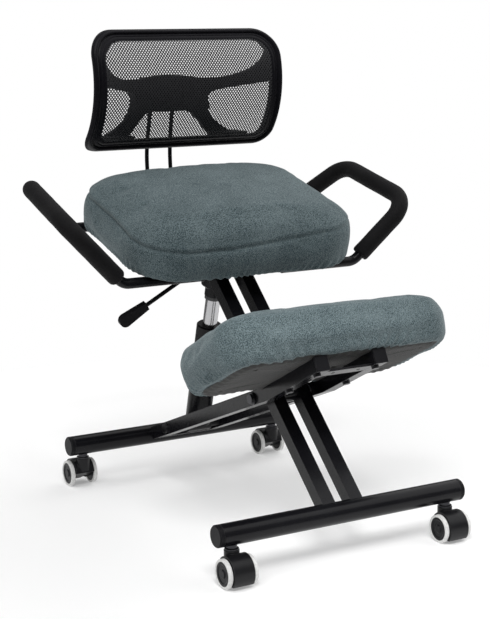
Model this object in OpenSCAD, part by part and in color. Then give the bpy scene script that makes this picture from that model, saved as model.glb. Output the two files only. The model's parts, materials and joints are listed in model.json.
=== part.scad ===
// Kneeling chair: crossed steel frame on twin-wheel castors, gas lift, knee pad,
// seat with looped armrests and a mesh lumbar backrest.
// Sitter faces -Y, +X is the sitter's left, +Z is up. Floor at Z = 0.
// Origin on the floor, midway between the two base tubes. Units: millimetres.

/* [Base] */
// Half the distance between the two base tubes
half_base = 300; // [250:1:350]
// Outside diameter of a base tube
tube_d = 38; // [30:0.5:50]
// Wall thickness of a base tube
tube_wall = 2; // [1.5:0.1:4]
// Length of a base tube without its end caps
tube_len = 474; // [400:1:560]
// Height of the base tube centre lines above the floor
tube_z = 84.3; // [75:0.1:95]
// Length of the visible rim of an end cap
cap_rim = 9; // [4:0.5:15]

/* [Castors] */
// Distance of a castor stem from the middle of the chair
castor_x = 215.7; // [180:0.1:240]
// Wheel diameter
wheel_d = 50; // [40:1:75]
// Width of one wheel
wheel_w = 7.6; // [5:0.1:12]
// Outside diameter of the dark hub disc
hub_d = 41; // [30:0.5:46]
// Trail: distance from stem axis to axle
trail = 16.5; // [10:0.5:25]
// Width of the hood between the wheels
hood_w = 38; // [30:0.5:46]
// Radius of the hood around the axle
hood_r = 28.5; // [26:0.5:32]
// Axle diameter
axle_d = 8; // [5:0.5:10]
// Castor stem diameter
stem_d = 11; // [8:0.5:12]
// Diameter of the neck boss on the hood
neck_d = 26; // [20:0.5:32]

/* [Seat legs] */
// Slope of the legs from the front tube up to the seat, degrees
leg_angle = 41.7; // [35:0.1:50]
// Height of the leg centre line above the front tube centre line
leg_lift = 3.3; // [0:0.1:6]
// Gap between the two legs
leg_gap = 30; // [28:0.5:40]
// Side of the square steel tube used for legs and rails
sq = 25; // [20:0.5:30]
// Wall of the square steel tube
sq_wall = 2; // [1.5:0.1:3]
// Y of the seat hinge at the top of the legs
hinge_y = 110.8; // [90:0.1:130]

/* [Knee rails] */
// Slope of the rails from the rear tube, degrees
rail_angle = 21.85; // [15:0.05:30]
// Slope of the rails under the knee pad, degrees
knee_angle = 27.5; // [15:0.5:40]
// Y where the rails bend
bend_y = -160; // [-200:1:-120]
// Length of the rail part under the knee pad
knee_rail_len = 181; // [140:1:220]
// Distance from the middle to the outer face of a rail
rail_out = 70; // [65:0.5:80]
// Y of the cross pivot
pivot_y = -117; // [-140:1:-90]
// Pivot bolt diameter
pivot_d = 10; // [8:0.5:14]

/* [Gas lift] */
// Lean of the gas lift from vertical, degrees; the seat has the same tilt
lean = 14.9; // [8:0.1:20]
// Y of the lower pin of the gas lift
lift_y = 225.1; // [200:0.1:250]
// Z of the lower pin of the gas lift
lift_z = 114.6; // [105:0.1:125]
// Outside diameter of the gas lift cylinder
cyl_d = 50; // [40:0.5:55]
// Distance from the lower pin to the top rim of the cylinder
cyl_top = 218.8; // [180:0.1:240]
// Piston diameter
piston_d = 28; // [20:0.5:30]
// Lower pin diameter
lift_pin_d = 12; // [8:0.5:14]
// Distance from the lower pin to the underside of the seat board
lift_len = 379; // [350:0.5:420]

/* [Seat] */
// Seat cushion width
seat_w = 456; // [380:1:480]
// Seat cushion depth
seat_d = 338; // [300:1:380]
// Corner radius of the seat cushion in plan
seat_r = 92; // [50:1:120]
// Height of the seat cushion at its middle
seat_h = 120; // [70:1:130]
// Rise of the crown over the cushion edge
seat_crown = 44; // [10:1:60]
// Y of the middle of the seat underside
seat_y = 147.4; // [130:0.1:165]
// Z of the middle of the seat underside
seat_z = 486.2; // [450:0.1:520]
// Board thickness under both cushions
board_t = 12; // [9:0.5:18]

/* [Knee pad] */
// Knee pad width
knee_w = 424; // [340:1:430]
// Knee pad depth along its slope
knee_d = 230; // [180:1:280]
// Corner radius of the knee pad in plan
knee_r = 52; // [30:1:80]
// Height of the knee pad at its middle
knee_h = 98; // [60:1:120]
// Rise of the crown over the knee pad edge
knee_crown = 24; // [10:1:40]
// Y of the middle of the knee pad underside
knee_y = -229.5; // [-260:0.1:-190]

/* [Armrests] */
// Armrest steel tube diameter
arm_d = 19; // [16:0.5:25]
// Outside diameter of the foam sleeve
foam_d = 33; // [28:0.5:40]
// Centre line bend radius of an armrest corner
arm_bend = 46; // [35:1:70]
// Bend radius where an armrest turns under the seat
foot_bend = 28; // [20:1:40]

/* [Backrest] */
// Backrest width
back_w = 397; // [350:1:450]
// Height of the lower edge of the backrest
back_z0 = 658; // [620:1:700]
// Height of the upper edge of the backrest
back_z1 = 883.5; // [850:0.5:920]
// Radius of the lumbar bulge, front face
bulge_r = 160; // [120:1:220]
// Y of the most forward line of the backrest
bulge_y = 227; // [215:1:250]
// Height of the most forward line of the backrest
bulge_z = 788; // [760:1:820]
// Diameter of the two backrest rods
rod_d = 8; // [6:0.5:14]

/* [Lever] */
// Diameter of the lift lever rod
lever_d = 8; // [6:0.5:10]
// Slope of the lever below the seat plane, degrees
lever_drop = 33; // [15:1:40]
// Length of the lever from its hinge to the paddle
lever_len = 104; // [80:1:160]
// Length of the paddle
paddle_len = 62; // [50:1:90]

/* [Hidden] */
$fn = 64;
fine = 96;
tube_r = tube_d / 2;
axle_z = wheel_d / 2;
run = 0.05;
piston_run = 0.05;
leg_x = leg_gap / 2;
leg_z0 = tube_z + leg_lift;
hinge_z = leg_z0 + (hinge_y + half_base) * tan(leg_angle);
leg_len = (hinge_y + half_base) / cos(leg_angle);
pivot_z = leg_z0 + (pivot_y + half_base) * tan(leg_angle);
pivot_s = (pivot_y + half_base) / cos(leg_angle);
rail_in = rail_out - sq;
bend_z = tube_z + (half_base - bend_y) * tan(rail_angle);
rail_end = [bend_y - knee_rail_len * cos(knee_angle), bend_z + knee_rail_len * sin(knee_angle)];
rail_path = [[half_base, tube_z], [bend_y, bend_z], rail_end];
knee_z = bend_z + (bend_y - knee_y) * tan(knee_angle) + sq / 2 / cos(knee_angle);
hinge_pin_d = 10;
hinge_slack = 1;
hinge_v = (hinge_y - seat_y) * cos(lean) + (hinge_z - seat_z) * sin(lean);
hinge_n = -(hinge_y - seat_y) * sin(lean) + (hinge_z - seat_z) * cos(lean);
lift_v = (lift_y - seat_y) * cos(lean) + (lift_z - seat_z) * sin(lean);
plate_t = 3;
plate_w = 150;
plate_front = -120;
plate_back = 84;
cheek_x = 40.6;
cheek_t = 3;
boss_d = 35;
housing_d = 52;
housing_top = -50;
housing_low = -76;
boss_low = -98;
neck_top_d = 29;
lever_x = -56;
lever_v = -24;
lever_n = -46;
tube_n = -arm_d / 2 - 0.2;
bar_r = 5;

// Node names, one solid or group of solids each
// Which node to draw

// ---------- helpers ----------

// Profile drawn in (Y, Z) and extruded along +X from x0
module side(x0, w) {
  translate([x0, 0, 0])
    rotate([90, 0, 90])
      linear_extrude(height = w)
        children();
}

// Round bar along X
module bar_x(x0, x1, d) {
  translate([x0, 0, 0])
    rotate([0, 90, 0])
      cylinder(h = x1 - x0, d = d);
}

// Rectangle with four equal rounded corners, centred
module round_rect(w, d, r) {
  square([w - 2 * r, d], center = true);
  square([w, d - 2 * r], center = true);
  for (sx = [-1, 1])
    for (sy = [-1, 1])
      translate([sx * (w / 2 - r), sy * (d / 2 - r)])
        circle(r = r, $fn = fine);
}

// Frame of the seat: origin under the middle of the seat, Z normal to the board
module seat_frame() {
  translate([0, seat_y, seat_z])
    rotate([lean, 0, 0])
      children();
}

// Frame of the gas lift: origin at its lower pin, Z along the lift
module lift_frame() {
  translate([0, lift_y, lift_z])
    rotate([lean, 0, 0])
      children();
}

// Frame of the knee pad: origin under its middle, Z normal to the board
module knee_frame() {
  translate([0, knee_y, knee_z])
    rotate([-knee_angle, 0, 0])
      children();
}

// Frame of the legs: origin at the front tube, Y along the legs
module leg_frame() {
  translate([0, -half_base, leg_z0])
    rotate([leg_angle, 0, 0])
      children();
}

// Frame of a castor: origin on the floor under the stem, Y along the trail
module castor_frame(sx, sy) {
  translate([sx * castor_x, sy * half_base, 0])
    rotate([0, 0, sy > 0 ? 0 : 180])
      children();
}

function unit(v) = v / norm(v);
function on_seat(x, v, n) = [
  x,
  seat_y + v * cos(lean) - n * sin(lean),
  seat_z + v * sin(lean) + n * cos(lean)
];
function cut_len(p, q, s, r) = r / tan(acos(unit(p - q) * unit(s - q)) / 2);

// Straight round piece between two points, hollow when di > 0
module rod(a, b, d, di = 0) {
  v = b - a;
  translate(a)
    rotate([0, acos(v[2] / norm(v)), atan2(v[1], v[0])])
      linear_extrude(height = norm(v))
        ring(d, di);
}

module ring(d, di) {
  difference() {
    circle(d = d, $fn = 48);
    if (di > 0)
      circle(d = di, $fn = 48);
  }
}

// Half length of the inner stub that ties a bend to its straight pieces
stub = 3;
// Seam left between a bend and a straight piece around the stub
seam = 0.02;

// Bend at corner q between the directions to p and s
module bend(p, q, s, r, d, di = 0) {
  a = unit(p - q);
  b = unit(s - q);
  half = acos(a * b) / 2;
  t = r / tan(half);
  mid = unit(a + b);
  c = q + mid * (r / sin(half));
  u = unit(q + a * t - c);
  n = unit(cross(u, unit(q + b * t - c)));
  w = cross(n, u);
  translate(c)
    rotate([atan2(w[2], n[2]), -asin(u[2]), atan2(u[1], u[0])])
      rotate_extrude(angle = 180 - 2 * half, $fn = fine)
        translate([r, 0])
          ring(d, di);
  for (k = [a, b])
    rod(q + k * (t - stub), q + k * (t + stub), d - stub, di > 0 ? di + stub : 0);
}

// ---------- base ----------

module base_tube(sy) {
  translate([0, sy * half_base, tube_z])
    difference() {
      bar_x(-tube_len / 2, tube_len / 2, tube_d);
      bar_x(-tube_len / 2 - 1, tube_len / 2 + 1, tube_d - 2 * tube_wall);
      for (sx = [-1, 1])
        translate([sx * castor_x, 0, -tube_r - 1])
          cylinder(h = tube_r, d = stem_d);
    }
}

module tube_caps(sy) {
  for (sx = [-1, 1])
    translate([0, sy * half_base, tube_z])
      mirror([sx < 0 ? 1 : 0, 0, 0]) {
        bar_x(tube_len / 2, tube_len / 2 + cap_rim - 2, tube_d);
        bar_x(tube_len / 2 + cap_rim - 2, tube_len / 2 + cap_rim, tube_d - 3);
        difference() {
          bar_x(tube_len / 2 - 12, tube_len / 2, tube_d - 2 * tube_wall);
          bar_x(tube_len / 2 - 13, tube_len / 2 - 1, tube_d - 2 * tube_wall - 5);
        }
      }
}

module front_tube() { color([0.10, 0.10, 0.11]) base_tube(-1); }
module rear_tube() { color([0.10, 0.10, 0.11]) base_tube(1); }
module front_tube_caps() { color([0.06, 0.06, 0.06]) tube_caps(-1); }
module rear_tube_caps() { color([0.06, 0.06, 0.06]) tube_caps(1); }

// ---------- castors ----------

stem_low = 38;
neck_high = 58;
flange_t = 2.2;
wheel_gap = 0.7;
cap_skin = 1.2;

module castor_stems(sy) {
  for (sx = [-1, 1])
    difference() {
      castor_frame(sx, sy) {
        translate([0, 0, stem_low])
          cylinder(h = tube_z - stem_low, d = stem_d);
        translate([0, 0, neck_high + 0.3])
          cylinder(h = flange_t, d = neck_d - 2);
        translate([0, 0, neck_high + 0.3])
          cylinder(h = 13, d = 18);
      }
      translate([0, sy * half_base, tube_z])
        difference() {
          bar_x(sx * castor_x - 20, sx * castor_x + 20, tube_d);
          translate([sx * castor_x, 0, -tube_r])
            cylinder(h = tube_r, d = stem_d);
        }
    }
}

module front_castor_stems() { color([0.75, 0.76, 0.78]) castor_stems(-1); }
module rear_castor_stems() { color([0.75, 0.76, 0.78]) castor_stems(1); }

// Side outline of the hood in (trail, height)
module hood_outline(r, low) {
  intersection() {
    translate([trail, axle_z])
      circle(r = r, $fn = fine);
    polygon([
      [trail + r + 1, low], [trail + 14, low], [trail - 2, low + 9], [-16, low + 25],
      [-16, 70], [trail + r + 1, 70]
    ]);
  }
}

module hood(sx, sy) {
  color([0.05, 0.05, 0.055])
    castor_frame(sx, sy)
      difference() {
        union() {
          side(-hood_w / 2, hood_w)
            hood_outline(hood_r, 7);
          translate([0, 0, axle_z + 8])
            cylinder(h = neck_high - axle_z - 8, d = neck_d);
        }
        for (m = [0, 1])
          mirror([m, 0, 0])
            side(7, hood_w / 2 - 9.5)
              difference() {
                hood_outline(hood_r - 2.5, 0);
                translate([trail, axle_z])
                  circle(d = axle_d + 8);
                translate([0, axle_z + 8])
                  square([neck_d, 60], center = true);
              }
        translate([0, 0, stem_low - 0.5])
          cylinder(h = 40, d = stem_d + 2 * run);
        translate([0, trail, axle_z])
          bar_x(-30, 30, axle_d);
      }
}

module axle(sx, sy) {
  color([0.6, 0.6, 0.62])
    castor_frame(sx, sy)
      translate([0, trail, axle_z])
        bar_x(-hood_w / 2 - wheel_gap - wheel_w + cap_skin + 0.4,
              hood_w / 2 + wheel_gap + wheel_w - cap_skin - 0.4, axle_d);
}

// Wheel with a pale tread ring, a dished disc and a blind axle bore
module wheel(sx, sy, outer) {
  flip = (outer ? sx : -sx) * (sy > 0 ? 1 : -1);
  color([0.82, 0.82, 0.82])
    castor_frame(sx, sy)
      mirror([flip < 0 ? 1 : 0, 0, 0])
        translate([hood_w / 2 + wheel_gap, trail, axle_z])
          rotate([90, 0, 90])
            rotate_extrude($fn = fine)
              polygon([
                [axle_d / 2 + run, 0], [wheel_d / 2 - 0.8, 0], [wheel_d / 2, 0.8],
                [wheel_d / 2, wheel_w - 0.8], [wheel_d / 2 - 0.8, wheel_w],
                [hub_d / 2 + 0.6, wheel_w], [hub_d / 2, wheel_w - 0.8],
                [hub_d / 2 - 4, wheel_w - 0.8], [hub_d / 2 - 6, wheel_w - 1.8],
                [8, wheel_w - 1.8], [6.5, wheel_w],
                [0, wheel_w], [0, wheel_w - cap_skin], [axle_d / 2 + run, wheel_w - cap_skin]
              ]);
}

module hood_front_right() { hood(-1, -1); }
module hood_front_left() { hood(1, -1); }
module hood_rear_right() { hood(-1, 1); }
module hood_rear_left() { hood(1, 1); }
module axle_front_right() { axle(-1, -1); }
module axle_front_left() { axle(1, -1); }
module axle_rear_right() { axle(-1, 1); }
module axle_rear_left() { axle(1, 1); }
module wheel_front_right_outer() { wheel(-1, -1, true); }
module wheel_front_right_inner() { wheel(-1, -1, false); }
module wheel_front_left_outer() { wheel(1, -1, true); }
module wheel_front_left_inner() { wheel(1, -1, false); }
module wheel_rear_right_outer() { wheel(-1, 1, true); }
module wheel_rear_right_inner() { wheel(-1, 1, false); }
module wheel_rear_left_outer() { wheel(1, 1, true); }
module wheel_rear_left_inner() { wheel(1, 1, false); }

// ---------- legs from the front tube up to the seat ----------

eye_solid = 20;

module leg(x0) {
  color([0.09, 0.09, 0.10])
    difference() {
      leg_frame() {
        difference() {
          translate([x0, 0, -sq / 2])
            cube([sq, leg_len, sq]);
          translate([x0 + sq_wall, -1, -sq / 2 + sq_wall])
            cube([sq - 2 * sq_wall, leg_len - eye_solid, sq - 2 * sq_wall]);
        }
        translate([0, leg_len, 0])
          bar_x(x0, x0 + sq, sq);
      }
      leg_frame()
        translate([0, leg_len, 0])
          bar_x(x0 - 1, x0 + sq + 1, hinge_pin_d + 2 * hinge_slack);
      leg_frame()
        translate([0, pivot_s, 0])
          bar_x(x0 - 1, x0 + sq + 1, pivot_d + 2 * run);
      translate([0, -half_base, tube_z])
        bar_x(x0 - 1, x0 + sq + 1, tube_d);
    }
}

module leg_right() { leg(-leg_x - sq); }
module leg_left() { leg(leg_x); }

module pivot_barrel() {
  color([0.09, 0.09, 0.10])
    leg_frame()
      translate([0, pivot_s, 0])
        difference() {
          bar_x(-leg_x, leg_x, 30);
          bar_x(-leg_x - 1, leg_x + 1, pivot_d + 2 * run);
        }
}

// ---------- rails from the rear tube up to the knee pad ----------

// Unit normal (pointing up) of a path piece running forward
function up_normal(a, b) = let (d = unit(b - a)) [d[1], -d[0]];
// Path shifted by h along its upward normals, mitred at the bend
function shifted(h) = let (
  n1 = up_normal(rail_path[0], rail_path[1]),
  n2 = up_normal(rail_path[1], rail_path[2]),
  m = (n1 + n2) / (1 + n1 * n2)
) [rail_path[0] + n1 * h, rail_path[1] + m * h, rail_path[2] + n2 * h];
function strip(lo, hi) = concat(shifted(lo), [for (i = [2, 1, 0]) shifted(hi)[i]]);

module rail_front_frame() {
  translate([0, bend_y, bend_z])
    rotate([-knee_angle, 0, 0])
      children();
}

knee_bolt_t = [62, 160];

module rail(x0) {
  color([0.09, 0.09, 0.10])
    difference() {
      side(x0, sq)
        polygon(strip(-sq / 2, sq / 2));
      side(x0 + sq_wall, sq - 2 * sq_wall)
        polygon(strip(-sq / 2 + sq_wall, sq / 2 - sq_wall));
      translate([0, half_base, tube_z])
        bar_x(x0 - 1, x0 + sq + 1, tube_d);
      translate([0, pivot_y, pivot_z])
        bar_x(x0 - 1, x0 + sq + 1, pivot_d);
      translate([0, lift_y, lift_z])
        bar_x(x0 - 1, x0 + sq + 1, lift_pin_d);
      rail_front_frame()
        for (t = knee_bolt_t)
          translate([x0 + sq / 2, -t, -sq])
            cylinder(h = 2 * sq, d = 6);
    }
}

module rail_right() { rail(-rail_out); }
module rail_left() { rail(rail_in); }

module rail_front_plate() {
  color([0.09, 0.09, 0.10])
    rail_front_frame()
      difference() {
        translate([-rail_in, -172, -sq / 2])
          cube([2 * rail_in, 30, 4]);
        for (sx = [-1, 1])
          translate([sx * 25, -157, -sq])
            cylinder(h = 2 * sq, d = 7);
      }
}

module rail_rear_plate() {
  color([0.09, 0.09, 0.10])
    translate([0, half_base, tube_z])
      rotate([-rail_angle, 0, 0])
        difference() {
          translate([-rail_in, -46, -sq / 2])
            cube([2 * rail_in, 24, 4]);
          translate([0, -34, -sq])
            cylinder(h = 2 * sq, d = 8);
        }
}

module rail_end_plugs() {
  color([0.05, 0.05, 0.05])
    rail_front_frame()
      for (sx = [-1, 1])
        translate([sx * (rail_out - sq / 2), -knee_rail_len, 0]) {
          translate([-sq / 2, -3, -sq / 2])
            cube([sq, 3, sq]);
          translate([-sq / 2 + sq_wall, 0, -sq / 2 + sq_wall])
            cube([sq - 2 * sq_wall, 8, sq - 2 * sq_wall]);
        }
}

// Cross pivot bolt with a domed head and a nut
module pivot_bolt() {
  color([0.25, 0.25, 0.27])
    translate([0, pivot_y, pivot_z]) {
      bar_x(-rail_out, rail_out + 10, pivot_d);
      bar_x(-rail_out - 3, -rail_out, 22);
      bar_x(-rail_out - 7, -rail_out - 3, 17);
      bar_x(rail_out, rail_out + 1.6, 22);
      translate([rail_out + 1.6, 0, 0])
        rotate([0, 90, 0])
          linear_extrude(height = 7)
            circle(d = 18.5, $fn = 6);
    }
}

module pivot_washers() {
  color([0.6, 0.6, 0.62])
    for (sx = [0, 1])
      mirror([sx, 0, 0])
        translate([0, pivot_y, pivot_z])
          difference() {
            bar_x(leg_x + sq + 0.1, rail_in, 22);
            bar_x(leg_x + sq - 1, rail_in + 1, pivot_d);
          }
}

// ---------- gas lift ----------

foot_half = 25;

module lift_pin() {
  color([0.25, 0.25, 0.27])
    translate([0, lift_y, lift_z]) {
      bar_x(-rail_out, rail_out, lift_pin_d);
      bar_x(-rail_out - 4, -rail_out, 19);
      bar_x(rail_out, rail_out + 4, 19);
    }
}

module lift_spacers() {
  color([0.05, 0.05, 0.05])
    for (sx = [0, 1])
      mirror([sx, 0, 0])
        translate([0, lift_y, lift_z])
          difference() {
            bar_x(foot_half + 0.1, rail_in, 18);
            bar_x(foot_half - 1, rail_in + 1, lift_pin_d);
          }
}

module lift_foot() {
  color([0.06, 0.06, 0.065])
    lift_frame()
      difference() {
        union() {
          bar_x(-foot_half, foot_half, 28);
          translate([0, 0, 6])
            cylinder(h = 16, d = cyl_d);
          translate([0, 0, 22])
            cylinder(h = 8, d = cyl_d - 5);
        }
        bar_x(-foot_half - 1, foot_half + 1, lift_pin_d + 2 * run);
      }
}

module lift_cylinder() {
  color([0.07, 0.07, 0.075])
    lift_frame()
      translate([0, 0, 22])
        rotate_extrude($fn = fine)
          polygon([
            [cyl_d / 2 - 2.5, 0], [cyl_d / 2, 0], [cyl_d / 2, cyl_top - 24],
            [cyl_d / 2 - 2, cyl_top - 22], [piston_d / 2 + piston_run, cyl_top - 22],
            [piston_d / 2 + piston_run, cyl_top - 42], [cyl_d / 2 - 2.5, cyl_top - 42]
          ]);
}

piston_low = 104;
piston_high = 318;

module lift_piston() {
  color([0.85, 0.86, 0.88])
    lift_frame() {
      translate([0, 0, piston_low])
        cylinder(h = piston_high - piston_low, d = piston_d, $fn = fine);
      translate([0, 0, piston_low])
        cylinder(h = 9, d = cyl_d - 5.2, $fn = fine);
    }
}

module piston_collar() {
  color([0.3, 0.3, 0.31])
    seat_frame()
      translate([0, lift_v, boss_low - 7])
        difference() {
          cylinder(h = 7, d = 33, $fn = fine);
          translate([0, 0, -1])
            cylinder(h = 9, d = piston_d, $fn = fine);
        }
}

module lift_socket() {
  color([0.08, 0.08, 0.085])
    seat_frame()
      translate([0, lift_v, 0])
        rotate_extrude($fn = fine)
          polygon([
            [piston_d / 2, boss_low], [boss_d / 2, boss_low],
            [boss_d / 2, housing_low - 6], [housing_d / 2, housing_low],
            [housing_d / 2, housing_top], [neck_top_d / 2, housing_top + 4],
            [neck_top_d / 2, -plate_t], [0, -plate_t],
            [0, piston_high - lift_len], [piston_d / 2, piston_high - lift_len]
          ]);
}

// ---------- seat mechanism ----------

module seat_plate() {
  color([0.09, 0.09, 0.10])
    seat_frame()
      difference() {
        union() {
          translate([-plate_w / 2, plate_front, -plate_t])
            cube([plate_w, plate_back - plate_front, plate_t]);
          for (sx = [0, 1])
            mirror([sx, 0, 0])
              translate([cheek_x, hinge_v - 15, hinge_n - 15])
                cube([cheek_t, 29, -plate_t - hinge_n + 15]);
          for (dv = [-10.3, 7.3])
            translate([lever_x - 7, lever_v + dv, lever_n - 7])
              cube([14, 3, -plate_t - lever_n + 7]);
        }
        translate([0, hinge_v, hinge_n])
          bar_x(-60, 60, hinge_pin_d);
        translate([lever_x, lever_v + 12, lever_n])
          rotate([90, 0, 0])
            cylinder(h = 24, d = 6);
        for (sx = [-1, 1])
          for (v = [-106, 70])
            translate([sx * 60, v, -plate_t - 1])
              cylinder(h = plate_t + 2, d = 6);
      }
}

module hinge_pin() {
  color([0.6, 0.6, 0.62])
    seat_frame()
      translate([0, hinge_v, hinge_n]) {
        bar_x(-cheek_x - cheek_t, cheek_x + cheek_t, hinge_pin_d);
        bar_x(-cheek_x - cheek_t - 4, -cheek_x - cheek_t, 16);
        bar_x(cheek_x + cheek_t, cheek_x + cheek_t + 4, 16);
      }
}

module lever_frame() {
  seat_frame()
    translate([lever_x, lever_v, lever_n])
      rotate([0, -lever_drop, 0])
        children();
}

module lever_rod() {
  color([0.07, 0.07, 0.075])
    lever_frame()
      difference() {
        union() {
          bar_x(-lever_len - 12, 38, lever_d);
          translate([0, 7, 0])
            rotate([90, 0, 0])
              cylinder(h = 14, d = 13);
        }
        translate([0, 10, 0])
          rotate([90, 0, 0])
            cylinder(h = 20, d = 6 + 2 * run);
      }
}

module lever_pin() {
  color([0.6, 0.6, 0.62])
    seat_frame()
      translate([lever_x, lever_v + 12, lever_n])
        rotate([90, 0, 0])
          cylinder(h = 24, d = 6);
}

module lever_paddle() {
  color([0.05, 0.05, 0.05])
    lever_frame()
      difference() {
        translate([0, 3.5 + 2, 0])
          rotate([90, 0, 0])
            linear_extrude(height = 11) {
              polygon([
                [-lever_len, 8], [-lever_len - paddle_len + 13, 12.5],
                [-lever_len - paddle_len + 13, -12.5], [-lever_len, -8]
              ]);
              translate([-lever_len - paddle_len + 13, 0])
                circle(r = 12.5, $fn = fine);
            }
        bar_x(-lever_len - 12, 0, lever_d);
      }
}

// ---------- soft seat and knee pad ----------

board_in = 20;
soft_gap = 0.3;

module board(w, d, r) {
  linear_extrude(height = board_t)
    round_rect(w - 2 * board_in, d - 2 * board_in, r - board_in);
}

// Crowned block with a pocket for its board
module pad(w, d, r, h, crown) {
  ball = (pow(w / 2, 2) + pow(crown, 2)) / (2 * crown);
  difference() {
    intersection() {
      linear_extrude(height = h + 1)
        round_rect(w, d, r);
      translate([0, 0, h - ball])
        sphere(r = ball, $fn = 160);
    }
    translate([0, 0, -1])
      linear_extrude(height = board_t + 1)
        round_rect(w - 2 * board_in + 2 * soft_gap, d - 2 * board_in + 2 * soft_gap,
                   r - board_in + soft_gap);
  }
}

module seat_board() {
  color([0.12, 0.11, 0.10])
    seat_frame()
      difference() {
        board(seat_w, seat_d, seat_r);
        for (sx = [-1, 1])
          for (v = [-106, 70])
            translate([sx * 60, v, -1])
              cylinder(h = 11, d = 6);
        arm_screw_spots(-1)
          cylinder(h = 10, d = arm_screw_d);
      }
}

module seat_cushion() {
  color([0.40, 0.47, 0.49])
    seat_frame()
      pad(seat_w, seat_d, seat_r, seat_h, seat_crown);
}

module seat_bolts() {
  color([0.25, 0.25, 0.27])
    seat_frame()
      for (sx = [-1, 1])
        for (v = [-106, 70])
          translate([sx * 60, v, 0]) {
            translate([0, 0, -plate_t])
              cylinder(h = plate_t + 9, d = 6);
            translate([0, 0, -plate_t - 4])
              cylinder(h = 4, d = 12);
          }
  color([0.25, 0.25, 0.27])
    seat_frame() {
      arm_screw_spots(-arm_pad_t)
        cylinder(h = arm_pad_t + 9, d = arm_screw_d);
      arm_screw_spots(-arm_pad_t - 3)
        cylinder(h = 3, d = 9);
    }
}

// Relief over the rails, which rise towards the pad behind their bend
module rail_relief() {
  low = shifted(-sq / 2);
  high = shifted(sq / 2 + soft_gap);
  for (m = [0, 1])
    mirror([m, 0, 0])
      side(rail_in - soft_gap, sq + 2 * soft_gap)
        polygon([low[0], low[1], high[1], high[0]]);
}

module knee_board() {
  color([0.20, 0.20, 0.18])
    difference() {
      knee_frame()
        difference() {
          board(knee_w, knee_d, knee_r);
          knee_bolt_spots(-1)
            cylinder(h = 10, d = 6);
        }
      rail_relief();
    }
}

module knee_cushion() {
  color([0.40, 0.47, 0.49])
    difference() {
      knee_frame()
        pad(knee_w, knee_d, knee_r, knee_h, knee_crown);
      rail_relief();
    }
}

// Bolt positions under the knee pad, in the knee frame
knee_shift = (bend_y - knee_y) / cos(knee_angle) + sq / 2 * tan(knee_angle);

module knee_bolt_spots(z) {
  for (sx = [-1, 1])
    for (t = knee_bolt_t)
      translate([sx * (rail_out - sq / 2), knee_shift - t, z])
        children();
}

module knee_bolts() {
  color([0.25, 0.25, 0.27])
    knee_frame() {
      knee_bolt_spots(-sq)
        cylinder(h = sq + 8, d = 6);
      knee_bolt_spots(-sq - 4)
        cylinder(h = 4, d = 13);
    }
}

// ---------- armrests ----------

// Places along the seat where an armrest runs under it
arm_foot_v = -116;
arm_heel_v = 148;
// Mounting pads that carry the armrest screws
arm_pad_t = 3.2;
arm_pad_x = 84;
arm_pad_w = 36;
arm_screw_d = 5;

// Screw positions of both armrests, in the seat frame
module arm_screw_spots(n) {
  for (sx = [-1, 1])
    for (spot = [
      [18, arm_foot_v - 14.5], [18, arm_foot_v + 14.5],
      [8, arm_heel_v - 22], [28, arm_heel_v - 22]
    ])
      translate([sx * (arm_pad_x + spot[0]), spot[1], n])
        children();
}

module arm_pads() {
  seat_frame()
    difference() {
      union() {
        translate([arm_pad_x, arm_foot_v - 20, -arm_pad_t])
          cube([arm_pad_w, 40, arm_pad_t]);
        translate([arm_pad_x, arm_heel_v - 30, -arm_pad_t])
          cube([arm_pad_w, 30, arm_pad_t]);
      }
      arm_screw_spots(-arm_pad_t - 1)
        cylinder(h = arm_pad_t + 2, d = arm_screw_d);
    }
}

// Corner points of the sitter's left armrest
arm_foot = on_seat(82, arm_foot_v, tube_n);
arm_low = on_seat(242.8, arm_foot_v, tube_n);
arm_front = [354, 14.2, 557.3];
arm_back = [343, 221.5, 609.5];
arm_rear = on_seat(236, arm_heel_v, tube_n);
arm_heel = on_seat(82, arm_heel_v, tube_n);
sleeve_gap = 6;

module loop_tube(d, di, ends) {
  a0 = seam + cut_len(arm_foot, arm_low, arm_front, foot_bend);
  a1 = seam + cut_len(arm_low, arm_front, arm_back, arm_bend);
  a2 = seam + cut_len(arm_front, arm_back, arm_rear, arm_bend);
  a3 = seam + cut_len(arm_back, arm_rear, arm_heel, foot_bend);
  s0 = ends ? a0 : a0 + sleeve_gap;
  s3 = ends ? a3 : a3 + 30;
  rod(arm_low + unit(arm_front - arm_low) * s0,
      arm_front + unit(arm_low - arm_front) * a1, d, di);
  bend(arm_low, arm_front, arm_back, arm_bend, d, di);
  rod(arm_front + unit(arm_back - arm_front) * a1,
      arm_back + unit(arm_front - arm_back) * a2, d, di);
  bend(arm_front, arm_back, arm_rear, arm_bend, d, di);
  rod(arm_back + unit(arm_rear - arm_back) * a2,
      arm_rear + unit(arm_back - arm_rear) * s3, d, di);
  if (ends) {
    rod(arm_foot, arm_low + unit(arm_foot - arm_low) * a0, d, di);
    bend(arm_foot, arm_low, arm_front, foot_bend, d, di);
    bend(arm_back, arm_rear, arm_heel, foot_bend, d, di);
    rod(arm_rear + unit(arm_heel - arm_rear) * a3, arm_heel, d, di);
  }
}

module arm_tube_left() {
  color([0.06, 0.06, 0.065]) {
    loop_tube(arm_d, 0, true);
    arm_pads();
  }
}
module arm_tube_right() {
  mirror([1, 0, 0])
    arm_tube_left();
}
module arm_foam_left() {
  color([0.11, 0.11, 0.115])
    loop_tube(foam_d, arm_d, false);
}
module arm_foam_right() {
  mirror([1, 0, 0])
    arm_foam_left();
}

// ---------- backrest ----------

rod_x = 26;
rod_start = on_seat(rod_x, 30, -plate_t - rod_d / 2);
rod_corner = on_seat(rod_x, 226, -plate_t - rod_d / 2);
rod_mid = [rod_x, 383, 640];
rod_top = [rod_x - 3, 353, 780];
rod_bend = 34;
rod_soft = 200;

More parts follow.
